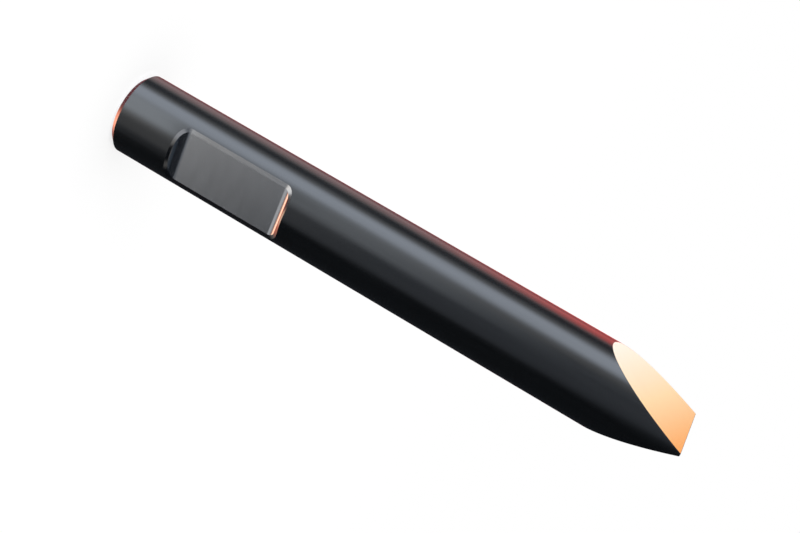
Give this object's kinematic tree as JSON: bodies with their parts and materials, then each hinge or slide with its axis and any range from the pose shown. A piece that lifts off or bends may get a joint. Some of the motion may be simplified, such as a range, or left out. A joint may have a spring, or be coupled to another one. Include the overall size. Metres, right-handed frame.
{
  "type": "hydraulic breaker chisel",
  "caption": "Round steel breaker tool with a two-faced wedge tip, a chamfered striking face and two milled retainer flats on the shank.",
  "frame": {"origin": "centre of the flat striking face, which is the face the bar stands on", "axes": "+Z along the bar towards the cutting edge; the cutting edge runs along Y, so the wedge faces look towards -X and +X; the retainer flats face -Y and +Y, and a retaining pin lies along X"},
  "size_m": [0.15, 0.15, 1.1],
  "materials": {
    "black_steel": "smooth black semi-gloss coat over steel"
  },
  "bodies": {
    "root": {"chisel": "black_steel"}
  },
  "joints": []
}
